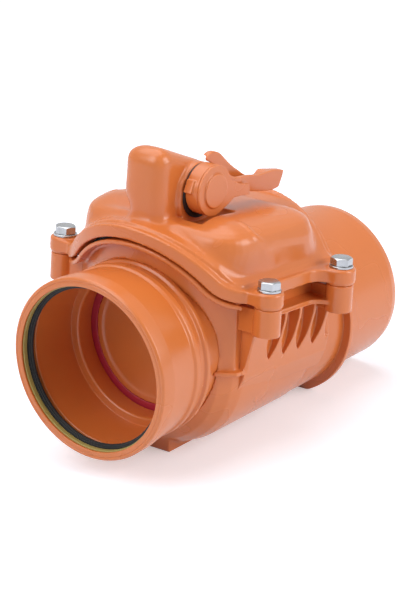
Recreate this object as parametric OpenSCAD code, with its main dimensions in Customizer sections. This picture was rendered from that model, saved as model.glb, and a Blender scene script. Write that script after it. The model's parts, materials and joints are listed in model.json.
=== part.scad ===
/* [Pipe connections] */
// Outside diameter of the drain pipe that fits the socket and the spigot
pipe_d = 110; // [106:0.5:114]
// Radial clearance of the pipe in the socket
socket_clear = 0.6; // [0.3:0.1:1]
// Wall of the socket behind its lip
socket_wall = 3; // [2.5:0.1:3.6]
// How far the mouth flares out over the socket wall
lip_flare = 3.6; // [3:0.1:5]
// Depth from the mouth to the pipe stop
socket_depth = 50; // [44:1:56]
// Height of the socket axis over the spigot axis
spigot_drop = 20; // [16:1:22]
// Free length of the spigot behind its ring
spigot_len = 62; // [50:1:80]
// Wall of the spigot
spigot_wall = 3.6; // [3:0.1:4.5]
// Length of the bevel at the spigot's end
spigot_bevel = 6; // [3:0.5:9]

/* [Chamber] */
// How far the flap laps over its seat all round
seat_lap = 4.5; // [3.5:0.5:6]
// Length of the neck from the pipe stop to the seat
neck_len = 14; // [12:1:18]
// Outside width of the chamber
chamber_w = 130; // [126:1:140]
// Length of the chamber from the seat to the end of its belly
chamber_len = 101; // [98:1:115]
// Depth of the round belly's axis under the socket axis
belly_drop = 10; // [8:1:13]
// Wall of the chamber and the cover
wall = 4; // [3:0.1:4.5]
// Height of the socket axis over the foot
foot_h = 76; // [75.6:0.1:78]
// Width of the flat foot
foot_w = 32; // [20:1:40]
// Diameter of the ring around the outlet neck
ring_d = 124; // [118:1:130]
// Distance from the belly's end to the ring
ring_gap = 40; // [30:1:50]

/* [Cover joint] */
// Lean of the cover joint down to the rear, in degrees
cover_tilt = 5.5; // [0:0.5:8]
// Radius of the joint's arch over the socket
arch_r = 73; // [70:0.5:76]
// Radius of the sweep from the arch to the ears
sweep_r = 30; // [24:1:36]
// Height of the joint at the ears
ear_z = 40; // [36:1:43]
// Thickness of the cover's flange
flange_t = 8.5; // [7:0.5:10]
// How far the flange stands out from the chamber wall
flange_out = 10; // [8:0.5:12]
// Width of the flange's lower rim
rim_w = 5; // [4:0.5:7.5]
// Height of the raised panel inside the rim
panel_step = 2; // [1.5:0.5:4]
// How far the flange's front edge lies ahead of the seat
front_lead = 30; // [26:1:32]
// Radius of the bow of the flange's front edge in plan
front_bow = 103; // [95:1:120]
// How far the flange's rear edge lies behind the belly's end
rear_trail = 18; // [14:1:22]
// Radius of the bow of the flange's rear edge in plan
rear_bow = 220; // [150:5:300]
// Thickness of the cover gasket
gasket_t = 2; // [1:0.1:3]

/* [Bolts] */
// Thread diameter of the cover bolts
bolt_d = 8; // [6:1:8]
// How far the bolts stand out from the flange's side
bolt_out = 10; // [9:0.5:12]
// Distance from the seat back to the front bolts
bolt_lead = 12; // [10:1:16]
// Distance from the front bolts to the rear bolts
bolt_pitch = 80; // [70:1:90]
// Diameter of the bolt bosses
boss_d = 18; // [17:0.5:20]
// Height of the cover's bosses
cover_boss_h = 11.5; // [10:0.5:14]
// Height of the body's bosses
body_boss_h = 18.5; // [16:0.5:24]
// Width across the flats of the bolt heads and nuts
head_af = 13; // [10:0.5:13]
// Height of the bolt heads
head_h = 5.3; // [4:0.1:6]
// Height of the nuts
nut_h = 6.5; // [5:0.1:7]
// Diameter of the washers
washer_d = 16; // [14:0.5:17]
// Thickness of the washers
washer_t = 1.6; // [1:0.1:2]

/* [Ribs] */
// Count of pointed pockets under each side flange
pocket_count = 5; // [3:1:5]
// Distance from one side pocket to the next
pocket_pitch = 16.3; // [15:0.1:17]
// Thickness of the ribs between the side pockets
rib_t = 2.4; // [2:0.1:4]
// Depth of the side flange under the cover joint
side_drop = 12.5; // [11:0.5:15]
// Thickness of the body's thin flanges
lip_t = 3; // [2:0.5:4]

/* [Cover dome] */
// Height of the dome's front over the socket axis
dome_front_h = 95; // [90:0.5:100]
// How far the dome's top falls to the rear
dome_fall = 6; // [4:0.5:10]
// Radius of the dome's shoulders
shoulder_r = 27; // [24:1:29]
// Width of the lever tower
tower_w = 28; // [26:1:31]
// Radius of the tower's rounded edges
tower_round = 10; // [8:0.5:11]
// Free space between the lock finger and the tower's walls
tower_clear = 1.5; // [1.2:0.1:3]

/* [Flap] */
// Diameter of the flap
flap_d = 108; // [106:1:111]
// Thickness of the flap's disc
flap_t = 4; // [3:0.5:5]
// Width of the red gasket
gasket_w = 8.6; // [7:0.2:11]
// Thickness of the red gasket
flap_gasket_t = 3.4; // [2.5:0.1:4]
// Gap between the closed gasket and its seat
seat_clear = 0.3; // [0.2:0.1:0.6]
// Distance from the seat back to the hinge
hinge_back = 4.5; // [4:0.1:6]
// Height of the hinge over the flap's edge
hinge_rise = 8; // [7.5:0.5:10]
// Diameter of the hinge pin
pin_d = 6; // [5:0.5:7]
// Thickness of the heel over the hinge
heel_t = 6; // [4:0.5:7]
// Height over the hinge at which the finger meets the heel
heel_reach = 19.24; // [18:0.1:21]
// Gap between the heel and the finger when the flap is locked
lock_clear = 0.35; // [0.3:0.05:1]

/* [Lever] */
// Distance from the seat back to the lever axis, along the cover joint
hub_back = 22; // [20:0.5:26]
// Height of the lever axis over the dome's front
hub_rise = 7.7; // [7.5:0.1:10]
// Diameter of the drum
drum_d = 34; // [30:0.5:35]
// Width of the drum
drum_w = 9.4; // [8:0.2:11]
// Diameter of the drum's boss on the tower
hub_boss_d = 40; // [38:0.5:42]
// How far that boss stands out from the tower
hub_boss_h = 3; // [2:0.5:4]
// Diameter of the lock shaft
shaft_d = 12; // [10:0.5:13]
// Radius of the finger's tip
finger_tip_r = 4; // [3.5:0.1:4.2]
// Reach of the handle behind the lever axis
handle_reach = 78; // [70:1:90]
// Wall of the handle's trough
handle_wall = 3; // [2:0.2:3.6]

/* [Hidden] */

$fn = 96;
hull_fn = 32;
far = 260;
eps = 0.01;

// Running clearance of shafts and pins, and clearance of pieces that stay put
run_clear = 0.05;
sit_clear = 0.05;
bolt_clear = 0.4;

pvc = [0.80, 0.42, 0.22];
zinc = [0.74, 0.75, 0.77];
rubber = [0.07, 0.07, 0.08];

pipe_r = pipe_d / 2;
bore_r = pipe_r + socket_clear;
socket_r = bore_r + socket_wall;
lip_r = socket_r + lip_flare;
seat_r = flap_d / 2 - seat_lap;
seat_y = socket_depth + neck_len;
belly_end = seat_y + chamber_len;
belly_r = chamber_w / 2;
neck_r = bore_r + socket_wall - 1.2;
ring_y = belly_end + ring_gap;
ring_t = 4;
outlet_r = pipe_r + 1;
overall_len = ring_y + ring_t + spigot_len;

// Groove of the lip seal behind the mouth
groove_r = bore_r + socket_wall + 1.2;
mouth_edge = 1.8;
keeper_w = 3.6;
groove_w = 12;

// Ridges round the socket's rear end and the valley between them
ridge_r = socket_r + 1.3;
valley_r = socket_r - 0.6;

side_half = chamber_w / 2 + flange_out;
bolt_x = side_half + bolt_out;
bolt_front = seat_y + bolt_lead;
bolt_rear = bolt_front + bolt_pitch;
pivot_y = bolt_front + 5;
front_edge = seat_y - front_lead;
ear_r = boss_d / 2 + 1;

// The cover reaches past the belly's end, and past its rear bolts where they lie further back
rear_edge = max(belly_end + rear_trail, bolt_rear + ear_r + flange_out + wall);
split_z = ear_z - 2;
boss_top = split_z + cover_boss_h;
sweep_x = sqrt(pow(arch_r + sweep_r, 2) - pow(ear_z + sweep_r, 2));
prism_floor = -belly_drop;
block_front = bolt_front + 3;
ledge_t = 3;
ledge_out = 4;

dome_rear_h = dome_front_h - dome_fall;
hub_y = seat_y + hub_back;
hub_z = dome_front_h + hub_rise;
tower_half = tower_w / 2;
boss_face = tower_half + hub_boss_h;
seal_w = 1.4;
drum_x0 = boss_face + seal_w + 0.2;
drum_x1 = drum_x0 + drum_w;
cap_t = 2;
pocket_r = drum_d / 2 + 5;
pocket_x = drum_x1 + cap_t + 3.5;
hinge_y = seat_y + hinge_back;
hinge_z = flap_d / 2 + hinge_rise;
gasket_edge = 0.4;
gasket_id = flap_d - 2 * gasket_edge - 2 * gasket_w;
flap_y = seat_y + seat_clear + flap_gasket_t;
lug_x = 21;
lug_w = 6;

// The hinge lugs stand just behind the collar's front wall, which leans back with its height
wall_back = front_edge + front_bow - sqrt(pow(front_bow - flange_out - wall, 2) - pow(lug_x + lug_w, 2));
lug_front = pivot_y + (wall_back - pivot_y) * cos(cover_tilt) + (hinge_z + pin_d / 2) * sin(cover_tilt) + 0.4;

bush_r = shaft_d / 2 + 2;
finger_w = 9;

// The finger's tip when the flap is locked, and the heel that stands close behind it
hub_place = [pivot_y + (hub_y - pivot_y) * cos(cover_tilt) + hub_z * sin(cover_tilt),
    hub_z * cos(cover_tilt) - (hub_y - pivot_y) * sin(cover_tilt)];
finger_reach = (hub_place[1] - hinge_z - heel_reach) / sin(45);
locked_tip = hub_place + finger_reach * [cos(225), sin(225)];
tip_way = locked_tip - [hinge_y, hinge_z];
heel_turn = asin((finger_tip_r + heel_t / 2 + lock_clear) / norm(tip_way));
heel_lean = atan2(tip_way[0], tip_way[1]) + heel_turn;
heel_len = norm(tip_way) * cos(heel_turn) + 2.6;

// The tower encloses the finger's whole turn
tower_h = hub_z + finger_reach * sin(45 + cover_tilt) + finger_tip_r + wall + tower_clear;
tower_front = hub_y - finger_reach - finger_tip_r - wall - tower_clear;

// The whole valve stands on its foot, with the origin under its middle
module placed() translate([0, -overall_len / 2, foot_h]) children();

// Frame of the cover joint, which leans down to the rear
module joint_frame() {
    translate([0, pivot_y, 0])
        rotate([-cover_tilt, 0, 0])
            translate([0, -pivot_y, 0])
                children();
}

module along_y(y0, y1) translate([0, y1, 0]) rotate([90, 0, 0]) linear_extrude(y1 - y0) children();

module along_x(x0, x1) {
    translate([x0, 0, 0])
        rotate([90, 0, 90])
            linear_extrude(x1 - x0)
                children();
}

// Turns a profile of [radius, y] points round an axis along Y at height z
module turned_y(z) translate([0, 0, z]) rotate([-90, 0, 0]) rotate_extrude() children();

module both_sides() {
    children();
    mirror([1, 0, 0]) children();
}

module at_bolts() {
    for (x = [-bolt_x, bolt_x], y = [bolt_front, bolt_rear])
        translate([x, y, 0]) children();
}

function spoke(a) = [cos(a), sin(a)];
function arc(c, r, a0, a1, n) = [for (i = [0 : n]) c + r * spoke(a0 + (a1 - a0) * i / n)];

// Area under the joint's outline seen from the front, moved outwards by d:
// an arch over the socket that sweeps out to level ears on both sides
module saddle(d) {
    turn = atan2(ear_z + sweep_r, sweep_x);
    centre = [sweep_x, ear_z + sweep_r];
    left_centre = [-sweep_x, ear_z + sweep_r];
    polygon(concat(
        [[far / 2, -far], [far / 2, ear_z + d]],
        arc(centre, sweep_r - d, 270, 180 + turn, 10),
        arc([0, 0], arch_r + d, turn, 180 - turn, 36),
        arc(left_centre, sweep_r - d, 360 - turn, 270, 10),
        [[-far / 2, ear_z + d], [-far / 2, -far]]));
}

module saddle_band(d0, d1) {
    difference() {
        saddle(d1);
        saddle(d0);
    }
}

// Plan of the cover without its ears, drawn in by inset
module cover_plan(inset) {
    intersection() {
        translate([-side_half + inset, 0]) square([2 * (side_half - inset), far]);
        translate([0, front_edge + front_bow]) circle(r = front_bow - inset);
        translate([0, rear_edge - rear_bow]) circle(r = rear_bow - inset);
    }
}

// Ears of the bolts with a hollow corner towards the side of the flange
module ear_plan(inset) {
    corner_r = 12;
    at_bolts() circle(r = ear_r - inset);
    both_sides()
        for (y = [bolt_front, bolt_rear]) {
            translate([side_half / 2, y - ear_r + inset])
                square([bolt_x - side_half / 2, 2 * (ear_r - inset)]);
            inner = y == bolt_front ? 1 : -1;
            translate([side_half - inset, y + inner * (ear_r - inset)])
                difference() {
                    translate([0, inner > 0 ? 0 : -corner_r]) square(corner_r);
                    translate([corner_r, inner * corner_r]) circle(r = corner_r);
                }
        }
}

module flange_plan(inset) {
    cover_plan(inset);
    ear_plan(inset);
}

// Rounded dome of the cover, drawn in by inset
module dome(inset) {
    base_r = 22;
    front_y = seat_y + 20;
    rear_y = belly_end - 25;
    base_x = side_half - flange_out + 1 - base_r;
    top_x = base_x - 6;
    brow_r = 10;
    hull() {
        both_sides() {
            translate([top_x, front_y, dome_front_h - shoulder_r])
                sphere(r = shoulder_r - inset, $fn = hull_fn);
            translate([top_x, rear_y, dome_rear_h - shoulder_r])
                sphere(r = shoulder_r - inset, $fn = hull_fn);
            translate([base_x - 2, seat_y + 11, 0]) cylinder(r = base_r - inset, h = ear_z, $fn = hull_fn);
            translate([base_x, belly_end - 12, 0]) cylinder(r = base_r - inset, h = ear_z, $fn = hull_fn);
        }
        translate([0, seat_y - 4, arch_r + 3])
            along_x(-20, 20)
                circle(r = brow_r - inset, $fn = hull_fn);
    }
}

// Tower over the flap's heel and the lock finger, drawn in by inset
module tower(inset) {
    r = tower_round - inset;
    front_y = tower_front + tower_round;
    x = tower_half - tower_round;
    rear_y = hub_y + 9;
    rear_z = hub_z + 8;
    hull()
        both_sides() {
            translate([x, front_y, tower_h - tower_round]) sphere(r = r, $fn = hull_fn);
            translate([x, rear_y, rear_z]) sphere(r = r, $fn = hull_fn);
            translate([x, front_y, arch_r - 4]) cylinder(r = r, h = 5, $fn = hull_fn);
            translate([x, rear_y, arch_r - 4]) cylinder(r = r, h = 5, $fn = hull_fn);
        }
}

// Hollow cover with its stepped flange, before the drum's pocket and the holes are cut
module cover_shell() {
    difference() {
        union() {
            intersection() {
                linear_extrude(far) flange_plan(0);
                along_y(0, far) saddle_band(0, flange_t);
            }
            intersection() {
                linear_extrude(far) cover_plan(rim_w);
                along_y(0, far) saddle_band(0, flange_t + panel_step);
            }
            difference() {
                union() {
                    dome(0);
                    tower(0);
                }
                along_y(0, far) saddle(0);
            }
            translate([0, hub_y, hub_z]) along_x(0, boss_face) circle(d = hub_boss_d);
            at_bolts() translate([0, 0, split_z]) cylinder(d = boss_d, h = cover_boss_h);
        }
        dome(wall);
        tower(wall);
        intersection() {
            linear_extrude(far) cover_plan(flange_out + wall);
            along_y(0, far) saddle(flange_t + panel_step - wall);
        }
    }
}

module cover() {
    color(pvc)
        placed()
            joint_frame()
                difference() {
                    union() {
                        cover_shell();
                        intersection() {
                            dome(0);
                            translate([0, hub_y, hub_z])
                                along_x(tower_half - wall, pocket_x + wall) circle(r = pocket_r + wall);
                        }
                    }
                    at_bolts() cylinder(d = bolt_d + 2 * bolt_clear, h = far);
                    translate([0, hub_y, hub_z]) {
                        along_x(boss_face, pocket_x) circle(r = pocket_r);
                        along_x(0, far / 2) circle(r = bush_r + sit_clear);
                    }
                }
}

// Outside of the socket and its neck, from the flared lip over two ridges to the seat
module socket_outline(grow) {
    rear_ridge = socket_depth - 1;
    front_ridge = socket_depth - 12;
    ridge_w = 4;
    polygon([[0, 0], [lip_r - 3, 0], [lip_r - 2.6, 0.6], [lip_r - 2.2, 0], [lip_r - 1.4, 0], [lip_r, 1.4],
        [lip_r - 0.3, groove_w], [socket_r + grow, front_ridge - 2], [ridge_r + grow, front_ridge],
        [ridge_r + grow, front_ridge + ridge_w], [valley_r + grow, front_ridge + ridge_w + 2],
        [valley_r + grow, rear_ridge - 1.5], [ridge_r + grow, rear_ridge], [ridge_r + grow, rear_ridge + 3],
        [neck_r + grow, rear_ridge + 5], [neck_r + grow, seat_y], [0, seat_y]]);
}

module socket_hollow() {
    polygon([[0, -1], [pipe_r + 1.2, -1], [pipe_r + 1.2, mouth_edge], [groove_r, mouth_edge],
        [groove_r, groove_w], [bore_r, groove_w + 2], [bore_r, socket_depth], [seat_r + 1, socket_depth],
        [seat_r, socket_depth + 1], [seat_r, seat_y + 1], [0, seat_y + 1]]);
}

// Side of the round belly as [radius, y] points, drawn in by inset
module belly_outline(inset) {
    front = seat_y - 8 + inset * 2;
    rear = belly_end - inset;
    r = belly_r - inset;
    polygon([[0, front], [r - 14, front], [r - 7, front + 6], [r - 2, front + 15], [r, front + 24],
        [r, rear - 8], [r - 1.5, rear - 3], [r - 5, rear], [0, rear]]);
}

// Round end of the chamber at the outlet, drawn up to the spigot's weld
module outlet_end() {
    polygon([[0, belly_end - 25], [pipe_r, belly_end - 25], [outlet_r, belly_end], [0, belly_end]]);
}

// Section of a side block, which runs from the side flange down into the belly
module side_block() {
    top_z = ear_z - side_drop - lip_t;
    polygon([[belly_r, top_z + 1], [side_half, top_z + 1], [side_half - 0.6, top_z - 6],
        [belly_r + 4, prism_floor + 6], [belly_r + 1.8, prism_floor - 6], [belly_r - 2.6, prism_floor - 18],
        [belly_r - 6, prism_floor - 18], [belly_r - 6, prism_floor - 1], [belly_r, prism_floor - 1]]);
}

// Pointed pocket between two ribs of the side block, seen along X
module pointed_pocket() {
    half = (pocket_pitch - rib_t) / 2;
    top_z = ear_z - side_drop - lip_t;
    tip_z = prism_floor + 2.5;
    flank = [[half, tip_z + 18], [half, tip_z + 10], [half * 0.55, tip_z + 5], [0, tip_z]];
    right = curve(flank, 6);
    left = [for (i = [5 : -1 : 0]) [-right[i][0], right[i][1]]];
    polygon(concat([[-half, top_z], [half, top_z]], right, left));
}

// Lug that carries the hinge pin behind the front wall, seen along X
module hinge_lug() {
    translate([hinge_y, hinge_z]) circle(r = pin_d / 2 + 4);
    polygon([[lug_front, neck_r - 12], [seat_y, neck_r - 6], [hinge_y, hinge_z - pin_d / 2 - 4],
        [hinge_y, hinge_z + pin_d / 2 + 4], [lug_front, hinge_z + 1]]);
}

module body_outside() {
    turned_y(-belly_drop) belly_outline(0);
    turned_y(-spigot_drop) outlet_end();
    translate([-foot_w / 2, seat_y - 1, -foot_h]) cube([foot_w, chamber_len - 8, foot_h / 2]);
    joint_frame() {
        // Upright collar of the chamber, with its thin flanges in front and behind
        intersection() {
            translate([0, 0, prism_floor]) linear_extrude(far) cover_plan(flange_out);
            along_y(0, far) saddle(-gasket_t);
        }
        intersection() {
            linear_extrude(far) cover_plan(1.5);
            along_y(0, far) saddle_band(-gasket_t - lip_t, -gasket_t);
            union() {
                translate([-far / 2, 0, 0]) cube([far, bolt_front - ear_r, far]);
                translate([-far / 2, bolt_rear + ear_r, 0]) cube([far, far, far]);
            }
        }
        // Ledge round the foot of the collar's front corners
        translate([0, 0, prism_floor - 1.5])
            linear_extrude(ledge_t)
                intersection() {
                    cover_plan(flange_out - ledge_out);
                    translate([-far / 2, 0]) square([far, block_front]);
                }
    }
}

module body_hollow() {
    turned_y(0) socket_outline(sit_clear);
    intersection() {
        turned_y(-belly_drop) belly_outline(wall);
        translate([-far / 2, seat_y, -far / 2]) cube([far, far, far]);
    }
    along_y(seat_y - eps, seat_y + 20) circle(d = flap_d + 3);
    turned_y(-spigot_drop) {
        translate([0, belly_end - 30]) square([pipe_r - spigot_wall, far]);
        translate([0, belly_end]) square([outlet_r + sit_clear, far]);
    }
    difference() {
        joint_frame()
            translate([0, 0, prism_floor])
                linear_extrude(far) cover_plan(flange_out + wall);
        along_y(0, seat_y) circle(r = neck_r);
    }
    below_foot();
}

// All that lies under the plane of the foot
module below_foot() translate([-far, -1, -foot_h - far]) cube([2 * far, 2 * far, far]);

module body() {
    color(pvc)
        placed()
            difference() {
                body_outside();
                body_hollow();
            }
}

// One side's rail: a flange strip under the cover's ears, two bolt bosses with their webs,
// and the block with its row of pointed pockets
module side_rail() {
    first_pocket = block_front + 25;
    intersection() {
        linear_extrude(far) flange_plan(1);
        along_y(bolt_front, bolt_rear) saddle_band(-side_drop - lip_t, -side_drop);
        translate([belly_r, 0, 0]) cube(far);
    }
    for (y = [bolt_front, bolt_rear])
        translate([0, y, split_z - body_boss_h]) {
            translate([bolt_x, 0, 0]) cylinder(d = boss_d, h = body_boss_h);
            translate([belly_r, -4, 0]) cube([bolt_x - belly_r, 8, body_boss_h - 2]);
        }
    difference() {
        along_y(block_front, belly_end + 6) side_block();
        for (i = [0 : pocket_count - 1])
            translate([0, first_pocket + i * pocket_pitch, 0])
                along_x(belly_r + 0.6, far / 2) pointed_pocket();
    }
}

module side_rails() {
    color(pvc)
        placed()
            difference() {
                joint_frame()
                    both_sides()
                        difference() {
                            side_rail();
                            for (y = [bolt_front, bolt_rear])
                                translate([bolt_x, y, split_z - body_boss_h - eps]) {
                                    cylinder(d = bolt_d + 2 * bolt_clear, h = far);
                                    cylinder(d = (head_af + 0.4) / cos(30), h = nut_h + 0.5, $fn = 6);
                                }
                        }
                turned_y(-belly_drop) translate([0, seat_y]) square([belly_r + sit_clear, far]);
            }
}

// Socket and neck in one turned piece, with the seat at its rear end and the hinge lugs
module inlet_socket() {
    color(pvc)
        placed() {
            turned_y(0)
                difference() {
                    socket_outline(0);
                    socket_hollow();
                }
            both_sides()
                difference() {
                    along_x(lug_x, lug_x + lug_w) hinge_lug();
                    translate([0, hinge_y, hinge_z]) along_x(0, far / 2) circle(d = pin_d + 2 * run_clear);
                    turned_y(0) socket_hollow();
                }
        }
}

// Outlet neck and spigot in one turned piece, with a ring that is flat where it meets the ground
module spigot() {
    bore = pipe_r - spigot_wall;
    color(pvc)
        placed() {
            turned_y(-spigot_drop)
                polygon([[bore, belly_end], [outlet_r, belly_end], [outlet_r, ring_y + ring_t / 2],
                    [pipe_r, ring_y + ring_t / 2], [pipe_r, overall_len - spigot_bevel],
                    [pipe_r - 1.4, overall_len], [bore, overall_len]]);
            difference() {
                turned_y(-spigot_drop)
                    translate([pipe_r - 1, ring_y])
                        square([ring_d / 2 - pipe_r + 1, ring_t]);
                below_foot();
            }
        }
}

module cover_gasket() {
    color(rubber)
        placed()
            joint_frame()
                difference() {
                    intersection() {
                        linear_extrude(far) cover_plan(flange_out);
                        along_y(0, far) saddle(-sit_clear);
                    }
                    linear_extrude(far) cover_plan(flange_out + wall);
                    along_y(0, far) saddle(sit_clear - gasket_t);
                }
}

// Hexagon bolt with a bevelled head on its washer
module cover_bolts() {
    shank = cover_boss_h + body_boss_h + washer_t;
    color(zinc)
        placed()
            joint_frame()
                at_bolts()
                    translate([0, 0, boss_top + washer_t]) {
                        translate([0, 0, -shank]) cylinder(d = bolt_d, h = shank);
                        intersection() {
                            cylinder(d = head_af / cos(30), h = head_h, $fn = 6);
                            cylinder(r1 = head_af / 2 + head_h, r2 = head_af / 2 - 0.4, h = head_h);
                        }
                    }
}

module bolt_washers() {
    color(zinc)
        placed()
            joint_frame()
                at_bolts()
                    translate([0, 0, boss_top])
                        difference() {
                            cylinder(d = washer_d, h = washer_t);
                            translate([0, 0, -1]) cylinder(d = bolt_d + bolt_clear, h = washer_t + 2);
                        }
}

module bolt_nuts() {
    color(zinc)
        placed()
            joint_frame()
                at_bolts()
                    translate([0, 0, split_z - body_boss_h + 0.4])
                        difference() {
                            cylinder(d = head_af / cos(30), h = nut_h, $fn = 6);
                            translate([0, 0, -1]) cylinder(d = bolt_d + 2 * sit_clear, h = nut_h + 2);
                        }
}

// Lip seal: a heel in the groove and a lip that leans into the socket
module socket_seal() {
    y0 = mouth_edge + keeper_w;
    color(rubber)
        placed()
            turned_y(0)
                polygon([[groove_r - sit_clear, y0 + sit_clear], [pipe_r + 0.9, y0 + sit_clear],
                    [pipe_r - 2.2, y0 + 2.4], [pipe_r - 2, y0 + 3.4], [pipe_r + 1.2, y0 + 3.6],
                    [pipe_r + 1.6, groove_w - sit_clear], [groove_r - sit_clear, groove_w - sit_clear]]);
}

module seal_ring() {
    y0 = mouth_edge + sit_clear;
    color([0.72, 0.65, 0.32])
        placed()
            turned_y(0)
                translate([pipe_r + 0.6, y0])
                    square([groove_r - sit_clear - pipe_r - 0.6, keeper_w - sit_clear]);
}

module hinge_pin() {
    half = lug_x + lug_w + 3;
    color(zinc)
        placed()
            translate([0, hinge_y, hinge_z])
                along_x(-half, half) circle(d = pin_d);
}

module hinge_clips() {
    color(zinc)
        placed()
            both_sides()
                translate([0, hinge_y, hinge_z])
                    along_x(lug_x + lug_w + 0.3, lug_x + lug_w + 1.5)
                        difference() {
                            circle(d = pin_d + 5);
                            circle(d = pin_d + 2 * sit_clear);
                        }
}

module shaft_bush() {
    color([0.85, 0.84, 0.80])
        placed()
            joint_frame()
                translate([0, hub_y, hub_z])
                    along_x(tower_half - wall - 2, boss_face)
                        difference() {
                            circle(r = bush_r);
                            circle(d = shaft_d + 2 * run_clear);
                        }
}

// Side of a flap arm, from the middle of the disc up to the hinge
module flap_arm() {
    back = flap_y + flap_t;
    polygon([[back - 1, -30], [back + 3, -24], [back + 9, 30], [hinge_y + 5, hinge_z - 2],
        [hinge_y - 2, hinge_z - 4], [back - 1, flap_d / 2 - 6]]);
}

// Heel over the hinge, bevelled where it swings past the tower's front
module heel_side() {
    half = heel_t / 2;
    polygon([[-half, 0], [half, 0], [half, heel_len], [half - 2, heel_len], [-half, heel_len - 2]]);
}

module flap() {
    face_r = gasket_id / 2 - 0.1;
    back = flap_y + flap_t;
    color(pvc)
        placed()
            difference() {
                union() {
                    turned_y(0)
                        polygon([[0, flap_y - flap_gasket_t + 1], [face_r - 5, flap_y - flap_gasket_t + 1],
                            [face_r - 4, flap_y - flap_gasket_t], [face_r, flap_y - flap_gasket_t],
                            [face_r, flap_y], [flap_d / 2, flap_y], [flap_d / 2, back - 1],
                            [flap_d / 2 - 1, back], [0, back]]);
                    turned_y(0) translate([flap_d / 2 - 9, back - 1]) square([4, 3]);
                    for (x = [-15, 9]) along_x(x, x + 6) flap_arm();
                    translate([0, hinge_y, hinge_z]) along_x(-lug_x + 1, lug_x - 1) circle(r = pin_d / 2 + 3);
                    translate([0, hinge_y, hinge_z])
                        rotate([-heel_lean, 0, 0])
                            along_x(-6, 6) heel_side();
                }
                translate([0, hinge_y, hinge_z])
                    along_x(-far / 2, far / 2) circle(d = pin_d + 2 * run_clear);
            }
}

module flap_gasket() {
    color([0.72, 0.08, 0.16])
        placed()
            turned_y(0)
                polygon([[gasket_id / 2, flap_y - flap_gasket_t], [flap_d / 2 - 1, flap_y - flap_gasket_t],
                    [flap_d / 2 - gasket_edge, flap_y - flap_gasket_t + 0.6],
                    [flap_d / 2 - gasket_edge, flap_y - sit_clear],
                    [gasket_id / 2, flap_y - sit_clear]]);
}

module at_hub() {
    placed()
        joint_frame()
            translate([0, hub_y, hub_z])
                children();
}

ring_x = [tower_half - 2.6, tower_half + 1.2];
ring_section = 2.3;
drive_w = 8;
drive_len = 5.4;
shaft_end = boss_face + 0.6;

module lock_shaft() {
    color(zinc)
        at_hub()
            difference() {
                union() {
                    along_x(-tower_half + wall + 0.5, shaft_end) circle(d = shaft_d);
                    along_x(shaft_end - eps, shaft_end + drive_len) square(drive_w, center = true);
                }
                for (x = ring_x)
                    along_x(x - ring_section / 2 - 0.1, x + ring_section / 2 + 0.1)
                        difference() {
                            circle(d = shaft_d + 2);
                            circle(d = shaft_d - 2 * ring_section);
                        }
                along_x(shaft_end - 6, far / 2) circle(d = 3.3);
                cylinder(d = 3 + 2 * sit_clear, h = far, center = true);
            }
}

module shaft_rings() {
    color(rubber)
        at_hub()
            for (x = ring_x)
                along_x(x - ring_section / 2, x + ring_section / 2)
                    difference() {
                        circle(d = shaft_d);
                        circle(d = shaft_d - 2 * ring_section + 2 * sit_clear);
                    }
}

// Finger that turns down in front of the flap's heel
module lock_finger() {
    lean = 45 + cover_tilt;
    color([0.85, 0.84, 0.80])
        at_hub()
            difference() {
                along_x(-finger_w / 2, finger_w / 2)
                    rotate(90 + lean) {
                        circle(d = shaft_d + 7);
                        translate([0, -finger_tip_r]) square([finger_reach, 2 * finger_tip_r]);
                        translate([finger_reach, 0]) circle(r = finger_tip_r);
                    }
                along_x(-far / 2, far / 2) circle(d = shaft_d + 2 * sit_clear);
                cylinder(d = 3 + 2 * sit_clear, h = far, center = true);
            }
}

module finger_pin() {
    color(zinc)
        at_hub()
            cylinder(d = 3, h = shaft_d + 7, center = true);
}

module hub_seal() {
    color(rubber)
        at_hub()
            along_x(boss_face + 0.1, boss_face + 0.1 + seal_w)
                difference() {
                    circle(d = drum_d - 2);
                    circle(d = shaft_d + 4);
                }
}

// Drum with the square hole for the shaft and a stop lug on its rim
module lever_hub() {
    color(pvc)
        at_hub()
            difference() {
                union() {
                    along_x(drum_x0, drum_x1) circle(d = drum_d);
                    along_x(drum_x0, drum_x0 + 6)
                        rotate(158)
                            translate([drum_d / 2 - 4, -2]) square([5, 9]);
                }
                along_x(drum_x0 - 1, shaft_end + drive_len + 0.3)
                    square(drive_w + 2 * sit_clear, center = true);
                along_x(drum_x0 - 1, far / 2) circle(d = 5.5);
                along_x(drum_x1 - 3.2, far / 2) circle(d = 10);
            }
}

module hub_screw() {
    color(zinc)
        at_hub() {
            along_x(shaft_end - 5, drum_x1 - 3) circle(d = 3.2);
            along_x(drum_x1 - 3.1, drum_x1 - 0.4) circle(d = 9);
        }
}

// Face plate of the drum: a raised disc and a tapered tab that clips to the handle
module hub_cap() {
    disc_r = drum_d / 2 - 5.5;
    tab_end = 37;
    color(pvc)
        at_hub()
            rotate([cover_tilt, 0, 0]) {
                along_x(drum_x1 + sit_clear, drum_x1 + cap_t) {
                    circle(d = drum_d);
                    polygon([[2, drum_d / 2 - 0.2], [10, 12], [17.5, 2.6], [26.5, -2.4], [tab_end, -5.6],
                        [tab_end, -12.8], [21, -10.4], [12, -14], [2, -drum_d / 2 + 0.2]]);
                }
                along_x(drum_x1 + cap_t - eps, drum_x1 + cap_t + 1.5) circle(r = disc_r);
            }
}

function bezier(p, t) = pow(1 - t, 3) * p[0] + 3 * pow(1 - t, 2) * t * p[1] + 3 * (1 - t) * t * t * p[2]
    + pow(t, 3) * p[3];
function curve(p, n) = [for (i = [0 : n]) bezier(p, i / n)];

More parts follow.
